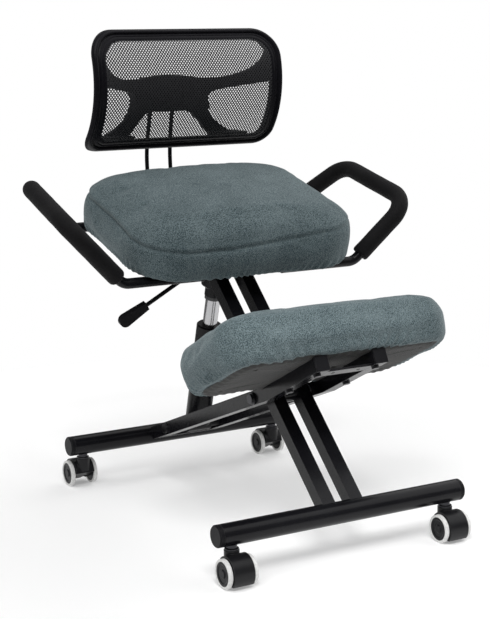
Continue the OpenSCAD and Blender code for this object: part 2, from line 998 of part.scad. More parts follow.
module back_rods() {
  b0 = seam + cut_len(rod_start, rod_corner, rod_mid, rod_bend);
  b1 = seam + cut_len(rod_corner, rod_mid, rod_top, rod_soft);
  color([0.07, 0.07, 0.075])
    for (m = [0, 1])
      mirror([m, 0, 0]) {
        rod(rod_start, rod_corner + unit(rod_start - rod_corner) * b0, rod_d);
        bend(rod_start, rod_corner, rod_mid, rod_bend, rod_d);
        rod(rod_corner + unit(rod_mid - rod_corner) * b0,
            rod_mid + unit(rod_corner - rod_mid) * b1, rod_d);
        bend(rod_corner, rod_mid, rod_top, rod_soft, rod_d);
        rod(rod_mid + unit(rod_top - rod_mid) * b1, rod_top, rod_d);
      }
}

bulge_cy = bulge_y + bulge_r;
rim = 26;
bead = 9;
bead_h = 3;
frame_t = 13;
brace_r = 232;
brace_t = 13;
brace_y = 342;
block_z0 = 725;
block_z1 = 793;

// Backrest outline in (X, Z), inset by e
module back_outline(e) {
  w = back_w - 2 * e;
  z0 = back_z0 + e * 0.85;
  z1 = back_z1 - e * 0.85;
  rt = 52 - e * 0.6;
  rb = 30 - e * 0.5;
  translate([-w / 2, z0 + rb])
    square([w, z1 - z0 - rt - rb]);
  translate([-w / 2 + rt, z1 - rt - 1])
    square([w - 2 * rt, rt + 1]);
  translate([-w / 2 + rb, z0])
    square([w - 2 * rb, rb + 1]);
  for (sx = [-1, 1]) {
    translate([sx * (w / 2 - rt), z1 - rt])
      circle(r = rt, $fn = fine);
    translate([sx * (w / 2 - rb), z0 + rb])
      circle(r = rb, $fn = fine);
  }
}

// Extrusion along Y of an (X, Z) profile
module front_extrude(y0, y1) {
  translate([0, y1, 0])
    rotate([90, 0, 0])
      linear_extrude(height = y1 - y0)
        children();
}

// Curved shell about the lumbar axis
module bulge_shell(r0, r1) {
  translate([0, bulge_cy, bulge_z])
    difference() {
      rotate([0, 90, 0])
        cylinder(h = back_w + 20, r = r1, center = true, $fn = 180);
      rotate([0, 90, 0])
        cylinder(h = back_w + 30, r = r0, center = true, $fn = 180);
    }
}

module back_frame() {
  color([0.06, 0.06, 0.065]) {
    intersection() {
      front_extrude(bulge_y - 5, bulge_cy)
        difference() {
          back_outline(0);
          back_outline(bead);
        }
      bulge_shell(bulge_r - frame_t, bulge_r);
    }
    intersection() {
      front_extrude(bulge_y - 5, bulge_cy)
        difference() {
          back_outline(bead);
          back_outline(rim);
        }
      bulge_shell(bulge_r - frame_t, bulge_r - bead_h);
    }
  }
}

module back_mesh() {
  color([0.55, 0.55, 0.55])
    intersection() {
      front_extrude(bulge_y - 5, bulge_cy)
        back_outline(rim);
      bulge_shell(bulge_r - bead_h - 1.6, bulge_r - bead_h - 0.4);
    }
}

// Upper wing of the brace in (X, Z), one side
wing_line = [
  [0, 796], [30, 795], [50, 792], [68, 789.5], [88, 789], [105, 790.3], [122, 793.4],
  [138, 799], [153, 806], [165, 817], [173, 830], [176, 845], [183.5, 845], [183.5, 785],
  [165, 780], [145, 776], [124, 771.5], [104, 768], [90, 764], [82, 759], [79, 752],
  [80, 741], [84, 728], [0, 725]
];
// Lower arm of the brace in (X, Z), one side
arm_line = [
  [46, 723], [52, 721], [58, 714], [65, 708], [77.5, 693], [90, 678], [94, 668],
  [165, 668], [165, 676], [150, 677], [128, 687], [112, 697], [95, 711], [85, 726],
  [80, 741], [79, 752], [82, 759], [84, 765], [46, 765]
];

module both_sides(line) {
  for (m = [0, 1])
    mirror([m, 0])
      polygon(line);
}

module back_brace() {
  color([0.05, 0.05, 0.055])
    difference() {
      union() {
        intersection() {
          front_extrude(bulge_y - 10, bulge_cy)
            both_sides(wing_line);
          translate([0, brace_y - brace_r, back_z0])
            difference() {
              cylinder(h = back_z1 - back_z0, r = brace_r, $fn = 180);
              translate([0, 0, -1])
                cylinder(h = back_z1 - back_z0 + 2, r = brace_r - brace_t, $fn = 180);
            }
        }
        front_extrude(brace_y - brace_t, brace_y)
          both_sides(arm_line);
        for (sx = [-1, 1])
          translate([sx * 124 - 28, 262, back_z0 + 10])
            cube([56, brace_y - 262, 15]);
      }
      back_screw_spots(brace_y - 10)
        cylinder(h = 20, d = 5);
      translate([0, bulge_cy, bulge_z])
        difference() {
          rotate([0, 90, 0])
            cylinder(h = back_w + 20, r = bulge_r + 60, center = true, $fn = 180);
          rotate([0, 90, 0])
            cylinder(h = back_w + 30, r = bulge_r - frame_t, center = true, $fn = 180);
        }
    }
}

// Block behind the brace that grips the two rods
module back_clamp() {
  color([0.05, 0.05, 0.055])
    difference() {
      translate([-44, brace_y - 8, block_z0 + 2])
        cube([88, 32, block_z1 - block_z0 - 4]);
      translate([0, brace_y - brace_r, back_z0])
        cylinder(h = back_z1 - back_z0, r = brace_r, $fn = 180);
      for (m = [0, 1])
        mirror([m, 0, 0])
          rod(rod_mid, rod_top, rod_d);
      back_screw_spots(brace_y - 10)
        cylinder(h = 40, d = 5);
    }
}

// Screw axes through the clamp, pointing backwards from y
module back_screw_spots(y) {
  for (sx = [-1, 1])
    for (z = [block_z0 + 14, block_z1 - 14])
      translate([sx * 37, y, z])
        rotate([-90, 0, 0])
          children();
}

module back_screws() {
  color([0.6, 0.6, 0.62]) {
    back_screw_spots(brace_y - 10)
      cylinder(h = 34, d = 5);
    back_screw_spots(brace_y + 24)
      cylinder(h = 3, d = 9);
  }
}

// ---------- drawing ----------

front_tube();
rear_tube();
front_tube_caps();
rear_tube_caps();
front_castor_stems();
rear_castor_stems();
hood_front_right();
hood_front_left();
hood_rear_right();
hood_rear_left();
axle_front_right();
axle_front_left();
axle_rear_right();
axle_rear_left();
wheel_front_right_outer();
wheel_front_right_inner();
wheel_front_left_outer();
wheel_front_left_inner();
wheel_rear_right_outer();
wheel_rear_right_inner();
wheel_rear_left_outer();
wheel_rear_left_inner();
leg_right();
leg_left();
pivot_barrel();
rail_right();
rail_left();
rail_front_plate();
rail_rear_plate();
rail_end_plugs();
pivot_bolt();
pivot_washers();
lift_pin();
lift_spacers();
lift_cylinder();
lift_foot();
lift_piston();
piston_collar();
lift_socket();
seat_plate();
hinge_pin();
lever_rod();
lever_paddle();
lever_pin();
seat_board();
seat_cushion();
seat_bolts();
knee_board();
knee_cushion();
knee_bolts();
arm_tube_right();
arm_tube_left();
arm_foam_right();
arm_foam_left();
back_rods();
back_clamp();
back_brace();
back_frame();
back_mesh();
back_screws();
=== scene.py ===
"""Looks for the kneeling chair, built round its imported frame.

Metres. The sitter faces -Y, +X is the sitter's left.
"""
import json
import math

import bpy
import numpy as np
from mathutils import Matrix, Vector, noise


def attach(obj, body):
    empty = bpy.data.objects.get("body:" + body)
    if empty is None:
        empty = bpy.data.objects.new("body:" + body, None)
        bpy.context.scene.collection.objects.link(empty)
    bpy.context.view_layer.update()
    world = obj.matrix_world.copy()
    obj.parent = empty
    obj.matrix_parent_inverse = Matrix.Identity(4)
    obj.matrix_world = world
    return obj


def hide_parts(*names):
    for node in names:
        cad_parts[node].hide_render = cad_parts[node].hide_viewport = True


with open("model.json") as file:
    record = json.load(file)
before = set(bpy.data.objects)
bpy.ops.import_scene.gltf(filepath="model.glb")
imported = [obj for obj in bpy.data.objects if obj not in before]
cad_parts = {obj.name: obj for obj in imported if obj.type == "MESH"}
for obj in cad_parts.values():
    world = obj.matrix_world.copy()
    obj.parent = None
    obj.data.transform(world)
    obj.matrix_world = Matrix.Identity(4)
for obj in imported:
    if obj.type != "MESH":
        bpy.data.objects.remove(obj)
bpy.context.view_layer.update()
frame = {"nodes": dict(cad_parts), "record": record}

NODES = frame["nodes"]
SCENE = bpy.context.scene

# ---------- places repeated from the CAD, in metres ----------

# Cushions: tilt and centre of each underside, and (width, depth, corner radius) of its plan.
LEAN = math.radians(14.9)
SEAT_AT = Vector((0, 0.1474, 0.4862))
KNEE_TILT = math.radians(-27.5)
KNEE_AT = Vector((0, -0.2295, 0.31903))
SEAT_SIZE = (0.456, 0.338, 0.092)
KNEE_SIZE = (0.424, 0.230, 0.052)
SEAT_FRAME = Matrix.Translation(SEAT_AT) @ Matrix.Rotation(LEAN, 4, "X")
KNEE_FRAME = Matrix.Translation(KNEE_AT) @ Matrix.Rotation(KNEE_TILT, 4, "X")

# Armrests: the tube's height under the seat's plane, its diameter, the foam's radius, and the bends.
TUBE_N = -0.0097
ARM_D = 0.019
FOAM_R = 0.0165
ARM_BEND = 0.046
FOOT_BEND = 0.028
ARM_FRONT = Vector((0.354, 0.0142, 0.5573))
ARM_BACK = Vector((0.343, 0.2215, 0.6095))

# Backrest: the lumbar arc, the outline and the rim's width.
BULGE_R = 0.160
BULGE_Y = 0.387
BULGE_Z = 0.788
BACK_W = 0.401
BACK_Z = (0.6565, 0.8853)
RIM = 0.026

# Castors: their axles, and the dark hub disc on the pale wheel.
AXLE_Y = 0.3165
AXLE_Z = 0.025
HUB_R = 0.0205

# ---------- sizes and colours of the looks alone ----------

# Cover of a cushion: remeshed size, the cloth solver's push, and how far a point of it may move.
COVER_VOXEL = 0.005
COVER_PRESSURE = 4.0
COVER_SWELL = 0.0045
CLOTH_FRAMES = 20
# Below HELD_BELOW the hem stays put, and above that the hold fades out over HELD_FADE.
HELD_BELOW = 0.010
HELD_FADE = 0.012
# Gathers of the hem, and the wrinkles in an armrest sleeve's bends: from crest to crest.
GATHER_WAVE = 0.0165
WRINKLE_WAVE = 0.0085
# An armrest sleeve's mesh: sides round it, and the hole that the tube passes through.
SLEEVE_SIDES = 36
SLEEVE_HOLE_R = ARM_D / 2 - 0.0006

YARN_DARK = (0.028, 0.047, 0.054)
YARN_LIGHT = (0.158, 0.202, 0.212)


def on_seat(x, v, n):
    """World place of a point given in the seat's own frame."""
    return SEAT_FRAME @ Vector((x, v, n))


# ---------- material building ----------

def make(tree, kind, inputs=None, **settings):
    """A shader node with its settings and inputs; an input that is a socket is linked."""
    node = tree.nodes.new(kind)
    for key, value in settings.items():
        setattr(node, key, value)
    for key, value in (inputs or {}).items():
        if isinstance(value, bpy.types.NodeSocket):
            tree.links.new(value, node.inputs[key])
        else:
            node.inputs[key].default_value = value
    return node


def material(name):
    """An empty material and its node tree."""
    mat = bpy.data.materials.new(name)
    mat.use_nodes = True
    mat.node_tree.nodes.clear()
    return mat, mat.node_tree


def place(tree, rotation=(0, 0, 0), scale=(1, 1, 1)):
    """Object coordinates, turned and scaled."""
    coords = make(tree, "ShaderNodeTexCoord")
    inputs = {"Vector": coords.outputs["Object"], "Rotation": rotation, "Scale": scale}
    return make(tree, "ShaderNodeMapping", inputs).outputs[0]


def grain(tree, where, scale, detail=2.0, rough=0.5):
    """Noise between 0 and 1."""
    inputs = {"Vector": where, "Scale": scale, "Detail": detail, "Roughness": rough}
    return make(tree, "ShaderNodeTexNoise", inputs).outputs["Fac"]


def sums(tree, kind, a, b=None, clamp=False):
    """One step of arithmetic."""
    inputs = {0: a}
    if b is not None:
        inputs[1] = b
    return make(tree, "ShaderNodeMath", inputs, operation=kind, use_clamp=clamp).outputs[0]


def remap(tree, value, low, high, to_low, to_high):
    """The value stretched from one range to another, clamped."""
    inputs = {"Value": value, "From Min": low, "From Max": high, "To Min": to_low, "To Max": to_high}
    return make(tree, "ShaderNodeMapRange", inputs).outputs["Result"]


def blend_colours(tree, factor, a, b):
    """Colour a at factor 0, colour b at factor 1."""
    return make(tree, "ShaderNodeMix", {"Factor": factor, 6: a, 7: b}, data_type="RGBA").outputs[2]


def bump(tree, height, strength, distance, normal=None):
    """Shading normal from a height, on top of another normal if one is given."""
    inputs = {"Height": height, "Strength": strength, "Distance": distance}
    if normal is not None:
        inputs["Normal"] = normal
    return make(tree, "ShaderNodeBump", inputs).outputs[0]


def finish_material(tree, **sockets):
    """Surface with the given inputs, named with underscores for spaces."""
    names = {key.replace("_", " "): value for key, value in sockets.items()}
    surface = make(tree, "ShaderNodeBsdfPrincipled", names)
    make(tree, "ShaderNodeOutputMaterial", {"Surface": surface.outputs[0]})


def coated(
    name, dark, light, rough, spread, grain_scale, bump_mm,
    edge=0.0008, metallic=0.0, specular=0.5, wear=None,
):
    """Paint, plastic or bare metal: mottled colour, uneven gloss, fine grain and softly rubbed edges."""
    mat, tree = material(name)
    where = place(tree)
    cloudy = grain(tree, where, 14, 3)
    fine = grain(tree, where, grain_scale, 3, 0.6)
    colour = blend_colours(tree, remap(tree, cloudy, 0.3, 0.7, 0, 1), (*dark, 1), (*light, 1))
    rounded = make(tree, "ShaderNodeBevel", {"Radius": edge}, samples=4).outputs[0]
    if wear is not None:
        flat = make(tree, "ShaderNodeNewGeometry").outputs["Normal"]
        dot = make(tree, "ShaderNodeVectorMath", {0: rounded, 1: flat}, operation="DOT_PRODUCT")
        bend = remap(tree, dot.outputs["Value"], 0.97, 0.80, 0, 1)
        patchy = remap(tree, grain(tree, where, 90, 4), 0.42, 0.62, 0, 1)
        rub = sums(tree, "MULTIPLY", bend, patchy)
        colour = blend_colours(tree, rub, colour, (*wear, 1))
    scuffs = grain(tree, place(tree, scale=(1, 4, 2)), 38, 5, 0.7)
    uneven = remap(tree, scuffs, 0.3, 0.7, rough - spread, rough + spread)
    gloss = sums(tree, "ADD", uneven, remap(tree, fine, 0.3, 0.7, -spread / 3, spread / 3))
    finish_material(
        tree, Base_Color=colour, Roughness=gloss, Metallic=metallic, Specular_IOR_Level=specular,
        Normal=bump(tree, fine, 0.6, bump_mm / 1000, rounded),
    )
    return mat


def chrome_finish():
    """Bright piston rod: drawn lines along it and a thin film of oil."""
    mat, tree = material("piston_chrome_finish")
    along = place(tree, rotation=(-LEAN, 0, 0), scale=(1, 1, 0.04))
    lines = grain(tree, along, 420, 2)
    oil = grain(tree, place(tree), 30, 4)
    finish_material(
        tree, Base_Color=blend_colours(tree, oil, (0.40, 0.40, 0.41, 1), (0.58, 0.58, 0.59, 1)), Metallic=1.0,
        Roughness=remap(tree, oil, 0.3, 0.7, 0.12, 0.24), Normal=bump(tree, lines, 0.25, 0.0001),
    )
    return mat


def wheel_finish():
    """Pale tread, dark hub disc: told apart by the distance from the castor's own axle."""
    mat, tree = material("wheel_finish")
    coords = make(tree, "ShaderNodeTexCoord").outputs["Object"]
    axes = make(tree, "ShaderNodeSeparateXYZ", {0: coords}).outputs
    across = sums(tree, "SUBTRACT", sums(tree, "ABSOLUTE", axes[1]), AXLE_Y)
    up = sums(tree, "SUBTRACT", axes[2], AXLE_Z)
    squares = [sums(tree, "MULTIPLY", leg, leg) for leg in (across, up)]
    radius = sums(tree, "SQRT", sums(tree, "ADD", *squares))
    hub = remap(tree, radius, HUB_R - 0.0002, HUB_R + 0.0002, 1, 0)
    rounds = sums(tree, "SINE", sums(tree, "MULTIPLY", radius, 9000))
    dust = remap(tree, grain(tree, coords, 260, 4, 0.7), 0.35, 0.7, 0, 1)
    tread = blend_colours(tree, dust, (0.74, 0.74, 0.73, 1), (0.58, 0.58, 0.57, 1))
    cap = blend_colours(tree, dust, (0.0045, 0.0045, 0.0055, 1), (0.0090, 0.0090, 0.0105, 1))
    colour = blend_colours(tree, hub, tread, cap)
    height = sums(tree, "ADD", sums(tree, "MULTIPLY", rounds, 0.15), grain(tree, coords, 1500, 2))
    rounded = make(tree, "ShaderNodeBevel", {"Radius": 0.0012}, samples=4).outputs[0]
    gloss = sums(tree, "ADD", remap(tree, hub, 0, 1, 0.5, 0.34), remap(tree, dust, 0, 1, -0.04, 0.06))
    finish_material(
        tree, Base_Color=colour, Roughness=gloss, Specular_IOR_Level=remap(tree, hub, 0, 1, 0.45, 0.16),
        Normal=bump(tree, height, 0.5, 0.00008, rounded),
    )
    return mat


def weave_height(tree, a, b, pitch_a, pitch_b):
    """Height of a plain knit: threads of one direction over the other in turn."""
    wave_a = sums(tree, "SINE", sums(tree, "MULTIPLY", a, 2 * math.pi / pitch_a))
    wave_b = sums(tree, "SINE", sums(tree, "MULTIPLY", b, 2 * math.pi / pitch_b))
    return sums(tree, "MULTIPLY", wave_a, wave_b)


def upholstery_finish():
    """Grey teal heather knit: fine upright ribs on the walls, crossing yarns on the top."""
    mat, tree = material("upholstery_finish")
    coords = make(tree, "ShaderNodeTexCoord").outputs["Object"]
    x, y, z = make(tree, "ShaderNodeSeparateXYZ", {0: coords}).outputs
    wobble = remap(tree, grain(tree, coords, 60, 2), 0, 1, -0.0010, 0.0010)
    x_w = sums(tree, "ADD", x, wobble)
    y_w = sums(tree, "ADD", y, wobble)
    normal = make(tree, "ShaderNodeTexCoord").outputs["Normal"]
    nx, ny, nz = make(tree, "ShaderNodeSeparateXYZ", {0: normal}).outputs
    flat = remap(tree, sums(tree, "ABSOLUTE", nz), 0.50, 0.75, 0, 1)
    lean = sums(tree, "SUBTRACT", sums(tree, "ABSOLUTE", nx), sums(tree, "ABSOLUTE", ny))
    sideways = remap(tree, lean, -0.2, 0.2, 0, 1)
    top = weave_height(tree, x_w, y_w, 0.0034, 0.0026)
    front = weave_height(tree, x_w, z, 0.0036, 0.0060)
    side = weave_height(tree, y_w, z, 0.0036, 0.0060)
    wall = make(tree, "ShaderNodeMix", {"Factor": sideways, 2: front, 3: side}).outputs[0]
    knit = make(tree, "ShaderNodeMix", {"Factor": flat, 2: wall, 3: top}).outputs[0]
    warp = grain(tree, place(tree, scale=(840, 380, 500)), 1, 2, 0.6)
    weft = grain(tree, place(tree, scale=(380, 840, 500)), 1, 2, 0.6)
    upright = grain(tree, place(tree, scale=(860, 860, 560)), 1, 2, 0.6)
    crossed = sums(tree, "MULTIPLY", sums(tree, "ADD", warp, weft), 0.5)
    yarn = make(tree, "ShaderNodeMix", {"Factor": flat, 2: upright, 3: crossed}).outputs[0]
    patches = grain(tree, place(tree, scale=(1, 1, 0.25)), 20, 3)
    shade = sums(tree, "ADD", remap(tree, yarn, 0.445, 0.555, 0, 1), sums(tree, "MULTIPLY", knit, 0.16))
    shade = sums(tree, "ADD", shade, remap(tree, patches, 0.3, 0.7, -0.16, 0.16), clamp=True)
    colour = blend_colours(tree, shade, (*YARN_DARK, 1), (*YARN_LIGHT, 1))
    fuzz = grain(tree, coords, 1900, 2)
    hairs = sums(tree, "ADD", yarn, sums(tree, "MULTIPLY", fuzz, 0.5))
    height = sums(tree, "ADD", sums(tree, "MULTIPLY", knit, 0.5), hairs)
    finish_material(
        tree, Base_Color=colour, Roughness=remap(tree, yarn, 0.3, 0.7, 0.82, 0.98), Specular_IOR_Level=0.20,
        Sheen_Weight=0.30, Sheen_Roughness=0.45, Sheen_Tint=(0.80, 0.90, 0.92, 1),
        Normal=bump(tree, height, 0.36, 0.0005),
    )
    return mat


def lining_finish():
    """Thin lining cloth under the cushions, its colour darkened to near black as painted shade for the shade
    beneath them.
    """
    mat, tree = material("lining_finish")
    coords = make(tree, "ShaderNodeTexCoord").outputs["Object"]
    x, y, _ = make(tree, "ShaderNodeSeparateXYZ", {0: coords}).outputs
    threads = weave_height(tree, x, y, 0.0016, 0.0016)
    fibres = grain(tree, coords, 700, 4, 0.7)
    folds = grain(tree, coords, 16, 3)
    # Lighter patches spread by the large folds noise.
    lighter_patches = remap(tree, folds, 0.3, 0.7, 0, 0.4)
    shade = sums(tree, "ADD", remap(tree, fibres, 0.3, 0.7, 0, 0.7), lighter_patches, clamp=True)
    # Painted shade: these lining colours stand for the shade under the cushions and are darker than the cloth
    # itself.
    colour = blend_colours(tree, shade, (0.0045, 0.0045, 0.0037, 1), (0.0095, 0.0095, 0.0080, 1))
    height = sums(tree, "ADD", sums(tree, "MULTIPLY", threads, 0.4), fibres)
    finish_material(
        tree, Base_Color=colour, Roughness=remap(tree, fibres, 0.3, 0.7, 0.75, 0.95), Sheen_Weight=0.15,
        Sheen_Roughness=0.5, Normal=bump(tree, height, 0.4, 0.0004),
    )
    return mat


def foam_finish():
    """Closed-cell foam sleeve: tiny pores and a dull skin."""
    mat, tree = material("foam_finish")
    coords = make(tree, "ShaderNodeTexCoord").outputs["Object"]
    pores = make(tree, "ShaderNodeTexVoronoi", {"Vector": coords, "Scale": 900}).outputs["Distance"]
    cloudy = grain(tree, coords, 22, 4)
    fine = grain(tree, coords, 520, 3, 0.7)
    mottle = remap(tree, cloudy, 0.3, 0.7, 0, 1)
    colour = blend_colours(tree, mottle, (0.0042, 0.0040, 0.0046, 1), (0.0078, 0.0074, 0.0082, 1))
    colour = blend_colours(tree, remap(tree, pores, 0.0, 0.35, 1, 0), colour, (0.004, 0.004, 0.004, 1))
    height = sums(tree, "ADD", pores, fine)
    finish_material(
        tree, Base_Color=colour, Roughness=remap(tree, fine, 0.3, 0.7, 0.62, 0.86), Specular_IOR_Level=0.15,
        Sheen_Weight=0.04, Sheen_Roughness=0.5, Normal=bump(tree, height, 0.45, 0.0005),
    )
    return mat


def net_finish():
    """Dark woven strands of the backrest net."""
    mat, tree = material("net_finish")
    coords = make(tree, "ShaderNodeTexCoord").outputs["Object"]
    strands = grain(tree, coords, 1400, 3, 0.7)
    cloudy = grain(tree, coords, 30, 2)
    faded = remap(tree, cloudy, 0.3, 0.7, -0.1, 0.2)
    shade = sums(tree, "ADD", remap(tree, strands, 0.3, 0.7, 0, 0.8), faded, clamp=True)
    finish_material(
        tree, Base_Color=blend_colours(tree, shade, (0.006, 0.006, 0.008, 1), (0.019, 0.019, 0.023, 1)),
        Roughness=remap(tree, strands, 0.3, 0.7, 0.45, 0.7), Sheen_Weight=0.1,
        Normal=bump(tree, strands, 0.4, 0.0002),
    )
    return mat


def wood_finish():
    """Dark stained plywood of the cushion boards."""
    mat, tree = material("board_finish")
    rings = grain(tree, place(tree, scale=(1, 14, 6)), 12, 5, 0.65)
    pores = grain(tree, place(tree, scale=(2, 30, 30)), 60, 3)
    colour = blend_colours(tree, rings, (0.026, 0.022, 0.018, 1), (0.052, 0.045, 0.036, 1))
    finish_material(
        tree, Base_Color=colour, Roughness=remap(tree, pores, 0.3, 0.7, 0.55, 0.8),
        Normal=bump(tree, pores, 0.4, 0.0003),
    )
    return mat


FABRIC = upholstery_finish()
LINING = lining_finish()
FOAM = foam_finish()
NET = net_finish()
PAINT = coated(
    "frame_paint_finish", (0.0040, 0.0040, 0.0052), (0.0070, 0.0070, 0.0086),
    0.22, 0.05, 900, 0.02, edge=0.0016, specular=0.21, wear=(0.03, 0.03, 0.033),
)
PLASTIC = coated(
    "moulded_plastic_finish", (0.0050, 0.0050, 0.0062), (0.0085, 0.0085, 0.0100),
    0.42, 0.06, 1300, 0.05, edge=0.0014, specular=0.11, wear=(0.04, 0.04, 0.043),
)
BACK_PLASTIC = coated(
    "back_plastic_finish", (0.0044, 0.0040, 0.0062), (0.0070, 0.0066, 0.0094),
    0.38, 0.06, 1300, 0.05, edge=0.0012, specular=0.13, wear=(0.05, 0.05, 0.055),
)
CASTOR_PLASTIC = coated(
    "castor_plastic_finish", (0.0050, 0.0050, 0.0060), (0.0085, 0.0085, 0.0098),
    0.34, 0.06, 1500, 0.04, edge=0.0016, specular=0.26, wear=(0.04, 0.04, 0.043),
)
LIFT_PAINT = coated(
    "lift_paint_finish", (0.0048, 0.0048, 0.0058), (0.0080, 0.0080, 0.0092),
    0.28, 0.06, 800, 0.03, edge=0.0010, specular=0.19, wear=(0.06, 0.06, 0.06),
)
COLLAR = coated(
    "collar_plastic_finish", (0.05, 0.05, 0.052), (0.07, 0.07, 0.073),
    0.45, 0.06, 1300, 0.05,
)
STEEL = coated(
    "zinc_steel_finish", (0.42, 0.42, 0.43), (0.60, 0.60, 0.61),
    0.32, 0.10, 500, 0.03, metallic=1.0, edge=0.0006,
)
DARK_STEEL = coated(
    "dark_steel_finish", (0.055, 0.055, 0.060), (0.10, 0.10, 0.105),
    0.34, 0.08, 500, 0.03, metallic=1.0, edge=0.0006,
)
STEM_STEEL = coated(
    "stem_steel_finish", (0.030, 0.030, 0.034), (0.060, 0.060, 0.064),
    0.22, 0.06, 500, 0.02, metallic=1.0, edge=0.0006,
)
CHROME = chrome_finish()
WHEEL = wheel_finish()
WOOD = wood_finish()

BY_SLOT = {
    "frame_paint": PAINT,
    "cap_plastic": PLASTIC,
    "steel": STEEL,
    "castor_plastic": CASTOR_PLASTIC,
    "wheel_plastic": WHEEL,
    "dark_steel": DARK_STEEL,
    "lift_black": LIFT_PAINT,
    "piston_chrome": CHROME,
    "collar_plastic": COLLAR,
    "board_wood": WOOD,
    "upholstery": FABRIC,
    "arm_foam": FOAM,
    "back_plastic": BACK_PLASTIC,
    "back_net": NET,
}
for part in frame["record"]["subparts"]:
    finish = BY_SLOT[part["material_slot"]]
    if part["node"].endswith("castor_stems"):
        finish = STEM_STEEL
    mesh = NODES[part["node"]].data
    mesh.materials.clear()
    mesh.materials.append(finish)


# ---------- mesh building ----------

def new_piece(name, points, faces, mat, body, world=None):
    """A smooth-shaded object of one material that rides on a body, if one is given."""
    mesh = bpy.data.meshes.new(name)
    mesh.from_pydata([tuple(p) for p in points], [], faces)
    mesh.validate()
    mesh.update()
    obj = bpy.data.objects.new(name, mesh)
    SCENE.collection.objects.link(obj)
    if world is not None:
        obj.matrix_world = world
    mesh.materials.append(mat)
    mesh.polygons.foreach_set("use_smooth", [True] * len(mesh.polygons))
    if body is not None:
        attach(obj, body)
    return obj


def grid_faces(rows, cols, closed_cols=True, closed_rows=False, offset=0):
    """Quads between rows of points."""
    faces = []
    for i in range(rows if closed_rows else rows - 1):
        for j in range(cols if closed_cols else cols - 1):
            a = offset + i * cols + j
            b = offset + i * cols + (j + 1) % cols
            c = offset + ((i + 1) % rows) * cols + (j + 1) % cols
            d = offset + ((i + 1) % rows) * cols + j
            faces.append((a, b, c, d))
    return faces


def plan_outline(w, d, front_r, rear_r, count):
    """Even points round a rounded rectangle: corner centres, outward normals, corner radii, total length."""
    spots = []
    corners = [(1, -1, front_r), (1, 1, rear_r), (-1, 1, rear_r), (-1, -1, front_r)]
    for k, (sx, sy, r) in enumerate(corners):
        start = (k - 1) * math.pi / 2
        steps = max(8, int(r * math.pi / 2 / 0.0005))
        for i in range(steps + 1):
            angle = start + math.pi / 2 * i / steps
            spots.append((sx * (w / 2 - r), sy * (d / 2 - r), math.cos(angle), math.sin(angle), r))
    spots = np.array(spots + spots[:1])
    line = spots[:, :2] + spots[:, 2:4] * spots[:, 4:]
    lengths = np.concatenate([[0], np.cumsum(np.linalg.norm(np.diff(line, axis=0), axis=1))])
    even = (np.arange(count) + 0.5) / count * lengths[-1]
    spread = np.column_stack([np.interp(even, lengths, spots[:, k]) for k in range(5)])
    return spread[:, :2], spread[:, 2:4], spread[:, 4:], lengths[-1]


def cushion_shell(size, rear_r, bow, wall, crown, drop, reach, count=220):
    """Closed quad shell: rings up the wall from (inset, height) pairs, then a domed top.

    The top rises from the wall's edge to the dome within reach of that edge.
    """
    w, d, front_r = size
    centres, normals, radii = plan_outline(w, d, front_r, rear_r, count)[:3]

    def plan(inset):
        """Outline at an inset, with its sides bowed outwards."""
        inner = centres * (1 - np.maximum(inset - radii, 0) / (d / 2 - radii + 1e-6) * 0.985)
        flat = inner + normals * np.maximum(radii - inset, 0)
        flat[:, 0] += bow * normals[:, 0] * (1 - (2 * flat[:, 1] / d) ** 2) * max(0.0, 1 - inset / 0.08)
        return flat

    rings = [np.column_stack([plan(inset), np.full(count, n)]) for inset, n in wall]
    start, edge_n = wall[-1]
    for k in range(1, 19):
        inset = start + (d / 2 - 0.0005 - start) * (k / 18) ** 1.7
        flat = plan(inset)
        dome = crown - drop * (flat ** 2).sum(axis=1) / ((w * w + d * d) / 4)
        share = min(1.0, (inset - start) / reach)
        rings.append(np.column_stack([flat, edge_n + (dome - edge_n) * math.sqrt(1 - (1 - share) ** 2)]))
    points = np.concatenate(rings)
    faces = grid_faces(len(rings), count)
    faces.append(tuple(range(count))[::-1])
    faces.append(tuple(range((len(rings) - 1) * count, len(rings) * count)))
    return points, faces


def apply_modifiers(obj):
    """Replace the object's mesh by what its modifiers make of it."""
    graph = bpy.context.evaluated_depsgraph_get()
    fresh = bpy.data.meshes.new_from_object(obj.evaluated_get(graph))
    old = obj.data
    obj.modifiers.clear()
    obj.data = fresh
    bpy.data.meshes.remove(old)


def coords_of(mesh):
    """Points of a mesh as an array."""
    flat = np.empty(len(mesh.vertices) * 3)
    mesh.vertices.foreach_get("co", flat)
    return flat.reshape(-1, 3)


def normals_of(mesh):
    """Normals at the points of a mesh as an array."""
    flat = np.empty(len(mesh.vertices) * 3)
    mesh.vertices.foreach_get("normal", flat)
    return flat.reshape(-1, 3)


def hold_hem(obj, points):
    """Vertex group that pins the cover's hem."""
    held = obj.vertex_groups.new(name="held")
    for i, n in enumerate(points[:, 2]):
        grip = min(1.0, max(0.0, (HELD_BELOW + HELD_FADE - n) / HELD_FADE))
        if grip > 0:
            held.add([i], grip, "REPLACE")


def add_cloth(obj):
    """Cloth solver that inflates the cover without gravity."""
    cloth = obj.modifiers.new("Cloth", "CLOTH")
    settings = cloth.settings
    settings.quality = 6
    settings.mass = 0.25
    settings.air_damping = 2.0
    settings.tension_stiffness = 18
    settings.compression_stiffness = 12
    settings.shear_stiffness = 8
    settings.bending_stiffness = 1.2
    settings.use_pressure = True
    settings.uniform_pressure_force = COVER_PRESSURE
    settings.effector_weights.gravity = 0
    settings.vertex_group_mass = "held"
    cloth.collision_settings.use_collision = False


